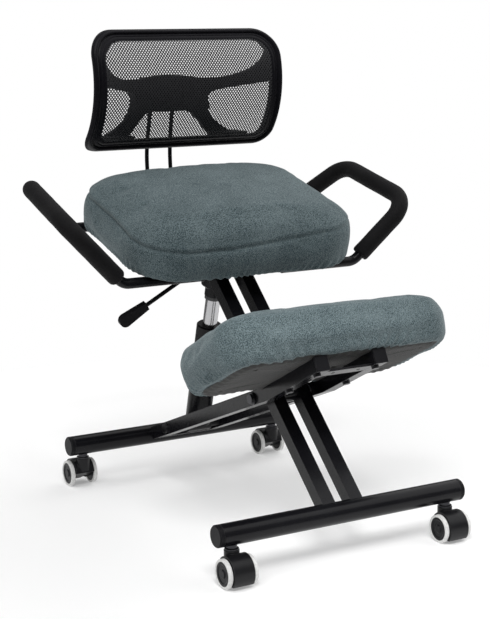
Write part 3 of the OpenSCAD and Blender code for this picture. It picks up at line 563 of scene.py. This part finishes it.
def blow_up(obj):
    """Let the cloth solver blow the cover up, and keep every point within COVER_SWELL of where it started."""
    before = coords_of(obj.data).copy()
    hold_hem(obj, before)
    add_cloth(obj)
    for step in range(1, CLOTH_FRAMES + 1):
        SCENE.frame_set(step)
    graph = bpy.context.evaluated_depsgraph_get()
    after = coords_of(obj.evaluated_get(graph).data).copy()
    obj.modifiers.clear()
    obj.vertex_groups.clear()
    SCENE.frame_set(1)
    move = after - before
    length = np.linalg.norm(move, axis=1)
    share = np.minimum(1.0, COVER_SWELL / np.maximum(length, 1e-9))
    obj.data.vertices.foreach_set("co", (before + move * share[:, None]).ravel())
    obj.data.update()


def swell(obj):
    """Remesh the shell evenly, blow it up, and smooth the result."""
    remesh = obj.modifiers.new("Remesh", "REMESH")
    remesh.mode = "VOXEL"
    remesh.voxel_size = COVER_VOXEL
    apply_modifiers(obj)
    blow_up(obj)
    smooth = obj.modifiers.new("Smooth", "SMOOTH")
    smooth.factor = 0.5
    smooth.iterations = 3
    split = obj.modifiers.new("Split", "SUBSURF")
    split.levels = 1
    split.render_levels = 1
    apply_modifiers(obj)
    obj.data.polygons.foreach_set("use_smooth", [True] * len(obj.data.polygons))


def noise_at(points, scale, seed):
    """Smooth noise at each point."""
    shift = Vector((seed * 3.7, seed * 1.3, seed * 2.1))
    return np.array([noise.noise(Vector(p) * scale + shift) for p in points])


def around(points, size):
    """Angle round the cushion's plan and distance out from its corner centres, for each point."""
    w, d, r = size
    dx = points[:, 0] - np.clip(points[:, 0], r - w / 2, w / 2 - r)
    dy = points[:, 1] - np.clip(points[:, 1], r - d / 2, d / 2 - r)
    return np.arctan2(points[:, 1] / d, points[:, 0] / w), np.hypot(dx, dy)


def ridge(gap, at, width):
    """Smooth ridge of height 1 across a line."""
    return np.exp(-((gap - at) / width) ** 2)


def seam_move(points, theta, out, corner_r, seam_n, depth):
    """Crease with a raised panel above it and a slight roll below; at the front it climbs to the left."""
    side = np.clip((out - (corner_r - 0.045)) / 0.02, 0, 1) * (0.58 - 0.42 * np.cos(theta))
    climb = np.clip((points[:, 0] - 0.045) / 0.11, -1, 0.8) * np.clip(-points[:, 1] / 0.12, 0, 1)
    line = seam_n + 0.0085 * climb + 0.0010 * np.sin(theta * 2 + 0.6)
    gap = points[:, 2] - line
    profile = 0.70 * ridge(gap, 0.0075, 0.0050) + 0.20 * ridge(gap, -0.0085, 0.0060) - ridge(gap, 0, 0.0027)
    return side * depth * profile


def gathers(theta, size, seed):
    """Uneven ripples along the hem, between about -1 and 1."""
    along = theta / (2 * math.pi) * 2 * (size[0] + size[1])
    unevenness = 2.2 * np.sin(theta * 5 + seed) + 1.5 * np.sin(theta * 11)
    strength = 0.55 + 0.45 * np.sin(theta * 7 + seed * 2)
    return np.sin(along * 2 * math.pi / GATHER_WAVE + unevenness) * strength


def slack_folds(points, out, corner_r, slack, seed):
    """Faint unevenness all over, and folds of the given depth low on the wall."""
    squashed = np.column_stack([points[:, 0], points[:, 1], points[:, 2] * 0.30])
    on_wall = np.clip((out - (corner_r - 0.030)) / 0.015, 0, 1)
    low = np.clip(1 - points[:, 2] / 0.06, 0, 1) * on_wall
    return noise_at(squashed, 20, seed) * (0.0005 + slack * low)


def sew(obj, size, seam_n, seam_depth, hem_depth, slack, tilt, seed):
    """Seam, gathered hem and slack folds, moved along the cover's normals.

    seam_n is the seam's height, and a positive tilt lowers the left side of the top.
    """
    mesh = obj.data
    points, normals = coords_of(mesh), normals_of(mesh)
    theta, out = around(points, size)
    n = points[:, 2]
    corner_r = size[2]
    gather = gathers(theta, size, seed)
    fade = np.clip(1 - n / 0.030, 0, 1) ** 1.5 * np.clip(n / 0.003, 0.35, 1)
    move = seam_move(points, theta, out, corner_r, seam_n, seam_depth)
    move += hem_depth * gather * fade
    move += slack_folds(points, out, corner_r, slack, seed)
    points = points + normals * move[:, None]
    rim = np.clip(1 - np.abs(n) / 0.012, 0, 1) * np.clip((out - (corner_r - 0.020)) / 0.006, 0, 1)
    points[:, 2] += 0.45 * hem_depth * gather * rim - tilt * points[:, 0] * np.clip(n / 0.09, 0, 1)
    mesh.vertices.foreach_set("co", points.ravel())
    mesh.update()


def cushion(name, size, wall, world, body, replaced, aside, shell, stitches):
    """Upholstered pad: a shell, blown up by the cloth solver, then sewn, and moved aside to where it sits."""
    points, faces = cushion_shell(size, wall=wall, **shell)
    obj = new_piece(name, points, faces, FABRIC, None, world)
    swell(obj)
    sew(obj, size, **stitches)
    obj.matrix_world = world @ Matrix.Translation((aside, 0, 0))
    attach(obj, body)
    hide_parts(replaced)


# Wall of a cushion from under the board up to the edge of its top: (inset from the plan, height).
SEAT_WALL = [
    (0.100, 0.004), (0.040, 0.004), (0.024, 0.0035), (0.016, 0.0012), (0.0095, 0.0012),
    (0.0045, 0.007), (0.0010, 0.016), (-0.0020, 0.030), (-0.0032, 0.048), (-0.0022, 0.060),
    (0.0005, 0.068),
]
KNEE_WALL = [
    (0.080, 0.004), (0.040, 0.004), (0.028, 0.0035), (0.020, 0.0012), (0.0095, 0.0012),
    (0.0030, 0.007), (-0.0015, 0.016), (-0.0058, 0.030), (-0.0075, 0.046), (-0.0065, 0.057),
    (-0.0030, 0.066),
]
cushion(
    "seat_pad", SEAT_SIZE, SEAT_WALL, SEAT_FRAME, "seat", "seat_cushion", aside=0.0045,
    shell={"rear_r": 0.078, "bow": 0.002, "crown": 0.1185, "drop": 0.029, "reach": 0.050},
    stitches={
        "seam_n": 0.070, "seam_depth": 0.0036, "hem_depth": 0.0036,
        "slack": 0.0010, "tilt": -0.012, "seed": 1,
    },
)
cushion(
    "knee_pad", KNEE_SIZE, KNEE_WALL, KNEE_FRAME, "rails", "knee_cushion", aside=-0.0012,
    shell={"rear_r": 0.056, "bow": 0.011, "crown": 0.0900, "drop": 0.009, "reach": 0.020},
    stitches={
        "seam_n": 0.070, "seam_depth": 0.0, "hem_depth": 0.0036,
        "slack": 0.0028, "tilt": 0.006, "seed": 2,
    },
)


# ---------- lining under the cushions ----------

def lining(name, size, inset, world, body, seed):
    """Stretched cloth over the underside, wavy along its edge."""
    w, d, r = size[0] - 2 * inset, size[1] - 2 * inset, size[2] - inset
    count = 240
    centres, normals, _, total = plan_outline(w, d, r, r, count)
    points = []
    rows = 14
    for k in range(rows):
        for j in range(count):
            if k < 4:
                plan = centres[j] + normals[j] * r * (1 - k / 4)
            else:
                plan = centres[j] * (1 - (k - 4) / (rows - 4) * 0.99)
            turn = j / count
            wave = math.sin(turn * total / 0.019 * 2 * math.pi + 2 * math.sin(turn * 12)) * 0.0010
            rough = noise.noise(Vector((plan[0] * 26, plan[1] * 26, seed))) * 0.0012
            n = min(-0.0016 + rough + wave * max(0.0, 1 - k / 3), -0.0004)
            points.append((plan[0], plan[1], 0.003 if k == 0 else n))
    faces = [f[::-1] for f in grid_faces(rows, count)]
    faces.append(tuple(range((rows - 1) * count, rows * count)))
    obj = new_piece(name, points, faces, LINING, body, world)


lining("knee_lining", KNEE_SIZE, 0.0135, KNEE_FRAME, "rails", seed=3.0)
lining("seat_lining", SEAT_SIZE, 0.0115, SEAT_FRAME, "seat", seed=5.0)


# ---------- armrest sleeves ----------

def rounded_path(corners, radii, step):
    """Points along straight runs joined by arcs at the inner corners."""
    path = [corners[0]]
    for before, corner, after, radius in zip(corners, corners[1:], corners[2:], radii):
        a = (before - corner).normalized()
        b = (after - corner).normalized()
        half = a.angle(b) / 2
        reach = radius / math.tan(half)
        middle = (a + b).normalized()
        centre = corner + middle * (radius / math.sin(half))
        start, end = corner + a * reach - centre, corner + b * reach - centre
        turn = math.pi - 2 * half
        pieces = max(4, int(turn * radius / step))
        axis = start.cross(end).normalized()
        for k in range(pieces + 1):
            path.append(centre + Matrix.Rotation(turn * k / pieces, 3, axis) @ start)
    path.append(corners[-1])
    even = [path[0]]
    for a, b in zip(path, path[1:]):
        span = (b - a).length
        pieces = max(1, round(span / step))
        for k in range(1, pieces + 1):
            even.append(a.lerp(b, k / pieces))
    return even


def sweep(path, radius_at):
    """Tube along a path with a radius for each (distance, angle)."""
    tangents = []
    for i in range(len(path)):
        a, b = path[max(0, i - 1)], path[min(len(path) - 1, i + 1)]
        tangents.append((b - a).normalized())
    side = tangents[0].orthogonal().normalized()
    points, s = [], 0.0
    for i, p in enumerate(path):
        if i:
            s += (p - path[i - 1]).length
            side = (side - tangents[i] * side.dot(tangents[i])).normalized()
        up = tangents[i].cross(side)
        for j in range(SLEEVE_SIDES):
            angle = 2 * math.pi * j / SLEEVE_SIDES
            direction = side * math.cos(angle) + up * math.sin(angle)
            points.append(p + direction * radius_at(i, s, direction))
    return points, grid_faces(len(path), SLEEVE_SIDES)


def close_ends(points, faces, path):
    """Flat end faces of a swept sleeve, from its skin in to the tube."""
    first = len(points)
    second = first + SLEEVE_SIDES
    last = (len(path) - 1) * SLEEVE_SIDES
    for row in (0, len(path) - 1):
        for j in range(SLEEVE_SIDES):
            outwards = (points[row * SLEEVE_SIDES + j] - path[row]).normalized()
            points.append(path[row] + outwards * SLEEVE_HOLE_R)
    for j in range(SLEEVE_SIDES):
        k = (j + 1) % SLEEVE_SIDES
        faces.append((k, j, first + j, first + k))
    for j in range(SLEEVE_SIDES):
        k = (j + 1) % SLEEVE_SIDES
        faces.append((last + j, last + k, second + k, second + j))


def sleeve(name, sign, replaced):
    """Foam sleeve on the upper part of an armrest, wrinkled inside its two bends."""
    low = on_seat(0.2428, -0.116, TUBE_N)
    rear = on_seat(0.236, 0.148, TUBE_N)
    foot = on_seat(0.082, -0.116, TUBE_N)
    heel = on_seat(0.082, 0.148, TUBE_N)
    corners = [low, ARM_FRONT, ARM_BACK, rear]

    def cut(p, q, s, radius):
        """Length that a bend at q takes off each straight run."""
        return radius / math.tan((p - q).angle(s - q) / 2)

    start = low + (ARM_FRONT - low).normalized() * (cut(foot, low, ARM_FRONT, FOOT_BEND) + 0.006)
    end = rear + (ARM_BACK - rear).normalized() * (cut(ARM_BACK, rear, heel, FOOT_BEND) + 0.030)
    path = rounded_path([start, ARM_FRONT, ARM_BACK, end], [ARM_BEND, ARM_BEND], 0.0022)
    lengths = np.cumsum([0.0] + [(b - a).length for a, b in zip(path, path[1:])])
    total = lengths[-1]
    inner = [(corners[0] + corners[2]) / 2, (corners[1] + corners[3]) / 2]
    bends = [ARM_FRONT, ARM_BACK]

    def radius_at(i, s, direction):
        """Rounded at the ends, wrinkled inside the bends, slightly uneven."""
        end_gap = min(s, total - s)
        r = FOAM_R - 0.0016 * max(0.0, 1 - end_gap / 0.0035) ** 2
        p = path[i]
        for corner, middle in zip(bends, inner):
            near = math.exp(-((p - corner).length / 0.034) ** 2 * 0.8)
            inward = max(0.0, direction.dot((middle - corner).normalized()))
            wrinkle = math.sin(s / WRINKLE_WAVE * 2 * math.pi + 1.3 * math.sin(s * 90))
            r -= near * inward ** 2 * (0.0009 + 0.0007 * wrinkle)
        r += 0.00035 * noise.noise(p * 45 + direction * 0.8)
        return r

    points, faces = sweep(path, radius_at)
    close_ends(points, faces, path)
    points = [Vector((p.x * sign, p.y, p.z)) for p in points]
    if sign > 0:
        faces = [f[::-1] for f in faces]
    obj = new_piece(name, points, faces, FOAM, "seat")
    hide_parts(replaced)


sleeve("arm_sleeve_left", 1, "arm_foam_left")
sleeve("arm_sleeve_right", -1, "arm_foam_right")


# ---------- backrest ----------

def bulge_point(x, z, depth):
    """Point at (x, z) on the lumbar surface that lies depth inside its front face."""
    rise = z - BULGE_Z
    r = BULGE_R - depth
    y = BULGE_Y - math.sqrt(r * r - rise * rise)
    return Vector((x, y, z)), Vector((0, (y - BULGE_Y) / r, rise / r))


def back_outline(inset, count):
    """Outline of the backrest in (x, z), evenly spaced, anticlockwise seen from the front."""
    w = BACK_W - 2 * inset
    z0, z1 = BACK_Z[0] + inset * 0.85, BACK_Z[1] - inset * 0.85
    top, low = 0.052 - inset * 0.6, 0.030 - inset * 0.5
    path = []

    def arc(cx, cz, radius, start):
        """Quarter circle, anticlockwise from the start angle."""
        for k in range(25):
            angle = start + math.pi / 2 * k / 24
            path.append((cx + radius * math.cos(angle), cz + radius * math.sin(angle)))

    arc(w / 2 - low, z0 + low, low, -math.pi / 2)
    arc(w / 2 - top, z1 - top, top, 0)
    arc(-w / 2 + top, z1 - top, top, math.pi / 2)
    arc(-w / 2 + low, z0 + low, low, math.pi)
    path = np.array(path + path[:1])
    lengths = np.concatenate([[0], np.cumsum(np.linalg.norm(np.diff(path, axis=0), axis=1))])
    spots = np.arange(count) / count * lengths[-1]
    return np.column_stack([np.interp(spots, lengths, path[:, k]) for k in (0, 1)])


# Section of the rim, from its outer back edge over the front to its inner back edge, as pairs of
# distance inwards from the outline and depth inside the front surface.
RIM_SECTION = [
    (0.0000, 0.0125), (-0.0002, 0.0080), (0.0002, 0.0035), (0.0012, 0.0012), (0.0030, 0.0000),
    (0.0052, 0.0000), (0.0072, 0.0010), (0.0085, 0.0026), (0.0092, 0.0042), (0.0100, 0.0044),
    (0.0112, 0.0034), (0.0130, 0.0030), (0.0150, 0.0031), (0.0158, 0.0037), (0.0166, 0.0031),
    (0.0200, 0.0030), (0.0232, 0.0033), (0.0250, 0.0042), (0.0260, 0.0060), (0.0262, 0.0100),
    (0.0255, 0.0126), (0.0130, 0.0130),
]


def back_rim():
    """Moulded rim with its groove."""
    count = 320
    rows = []
    for inset, depth in RIM_SECTION:
        for x, z in back_outline(inset, count):
            p, _ = bulge_point(x, z, depth)
            rows.append(p)
    faces = [f[::-1] for f in grid_faces(len(RIM_SECTION), count, closed_rows=True)]
    obj = new_piece("back_rim", rows, faces, BACK_PLASTIC, "seat")
    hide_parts("back_frame")


def back_net(pitch=0.0046, width=0.0023, crest=0.0004):
    """Two families of crossing threads on the lumbar surface, cut off under the rim."""
    edge = back_outline(RIM - 0.003, 400)
    edge = np.array([(x, BULGE_R * math.asin((z - BULGE_Z) / BULGE_R)) for x, z in edge])
    points, faces = [], []
    for lift, slope in ((0.0002, math.radians(52)), (-0.0002, math.radians(-52))):
        direction = np.array([math.cos(slope), math.sin(slope)])
        across = np.array([-direction[1], direction[0]])
        offsets = edge @ across
        for step in range(int(offsets.min() / pitch), int(offsets.max() / pitch) + 1):
            gap = offsets - step * pitch
            crossings = []
            for i in range(len(edge)):
                j = (i + 1) % len(edge)
                if (gap[i] > 0) != (gap[j] > 0):
                    t = gap[i] / (gap[i] - gap[j])
                    crossings.append((edge[i] + (edge[j] - edge[i]) * t) @ direction)
            crossings.sort()
            for lo, hi in zip(crossings[::2], crossings[1::2]):
                pieces = max(2, int((hi - lo) / 0.006))
                first = len(points)
                for k in range(pieces + 1):
                    centre = direction * (lo + (hi - lo) * k / pieces) + across * step * pitch
                    for aside, height in ((-width / 2, 0), (0, crest), (width / 2, 0)):
                        u, v = centre + across * aside
                        p, normal = bulge_point(u, BULGE_Z + BULGE_R * math.sin(v / BULGE_R), 0.0036)
                        points.append(p + normal * (height + lift))
                faces += grid_faces(pieces + 1, 3, closed_cols=False, offset=first)
    obj = new_piece("back_net", points, faces, NET, "seat")
    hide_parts("back_mesh")


back_rim()
back_net()


# ---------- stage ----------

FLOOR_R = 1.3
# The photo's camera: its place, and its turn, downward pitch and roll in radians.
CAMERA_AT = (-1.3476, -2.3356, 0.9127)
CAMERA_TURN = -0.5176
CAMERA_PITCH = 0.1939
CAMERA_ROLL = -0.0048
CAMERA_LENS = 87.53


def floor():
    """Pale round floor, lit to white."""
    mat, tree = material("floor_finish")
    speckle = grain(tree, place(tree), 3, 2)
    finish_material(
        tree, Base_Color=blend_colours(tree, speckle, (0.74, 0.74, 0.74, 1), (0.77, 0.77, 0.77, 1)),
        Roughness=remap(tree, speckle, 0, 1, 0.85, 0.95),
        Specular_IOR_Level=0.1, Emission_Color=(1, 1, 1, 1), Emission_Strength=0.28,
    )
    angles = [a * math.pi / 32 for a in range(64)]
    ring = [(FLOOR_R * math.cos(angle), FLOOR_R * math.sin(angle), 0) for angle in angles]
    obj = new_piece("floor", ring, [tuple(range(64))], mat, None)


def backdrop():
    """White to the camera, but only a dim light on the object."""
    world = bpy.data.worlds.new("studio")
    SCENE.world = world
    world.use_nodes = True
    tree = world.node_tree
    tree.nodes.clear()
    light = make(tree, "ShaderNodeBackground", {"Color": (1, 1, 1, 1), "Strength": 0.20})
    white = make(tree, "ShaderNodeBackground", {"Color": (1, 1, 1, 1), "Strength": 1.0})
    seen = make(tree, "ShaderNodeLightPath").outputs["Is Camera Ray"]
    mixed = make(tree, "ShaderNodeMixShader", {0: seen, 1: light.outputs[0], 2: white.outputs[0]})
    make(tree, "ShaderNodeOutputWorld", {"Surface": mixed.outputs[0]})


def lamp(name, towards, spread, strength):
    """Soft far light that shines from the given direction."""
    data = bpy.data.lights.new(name, "SUN")
    data.angle = math.radians(spread)
    data.energy = strength
    obj = bpy.data.objects.new(name, data)
    obj.rotation_euler = Vector(towards).to_track_quat("Z", "Y").to_euler()
    SCENE.collection.objects.link(obj)


def spot(name, place_at, aim, cone, power):
    """Soft-edged small lamp aimed at one part."""
    data = bpy.data.lights.new(name, "SPOT")
    data.spot_size = math.radians(cone)
    data.spot_blend = 1.0
    data.shadow_soft_size = 0.25
    data.energy = power
    obj = bpy.data.objects.new(name, data)
    obj.location = place_at
    obj.rotation_euler = (Vector(place_at) - Vector(aim)).to_track_quat("Z", "Y").to_euler()
    SCENE.collection.objects.link(obj)


def camera():
    """The photo's own view."""
    data = bpy.data.cameras.new("camera")
    data.sensor_fit = "AUTO"
    data.sensor_width = 36.0
    data.lens = CAMERA_LENS
    data.clip_end = 100
    cam = bpy.data.objects.new("camera", data)
    cam.matrix_world = (
        Matrix.Translation(CAMERA_AT) @ Matrix.Rotation(CAMERA_TURN, 4, "Z")
        @ Matrix.Rotation(math.pi / 2 - CAMERA_PITCH, 4, "X") @ Matrix.Rotation(CAMERA_ROLL, 4, "Z")
    )
    SCENE.collection.objects.link(cam)
    SCENE.camera = cam


floor()
backdrop()
lamp("key", (-0.54, -0.24, 1.0), spread=60, strength=1.60)
lamp("overhead", (1.00, -0.02, 0.85), spread=80, strength=1.45)
lamp("glint", (-0.20, -0.80, 1.0), spread=9, strength=0.40)
spot("knee_fill", (-0.55, -1.05, 1.25), aim=(-0.05, -0.38, 0.28), cone=31, power=58)
camera()
SCENE.view_settings.view_transform = "Standard"
SCENE.view_settings.look = "None"
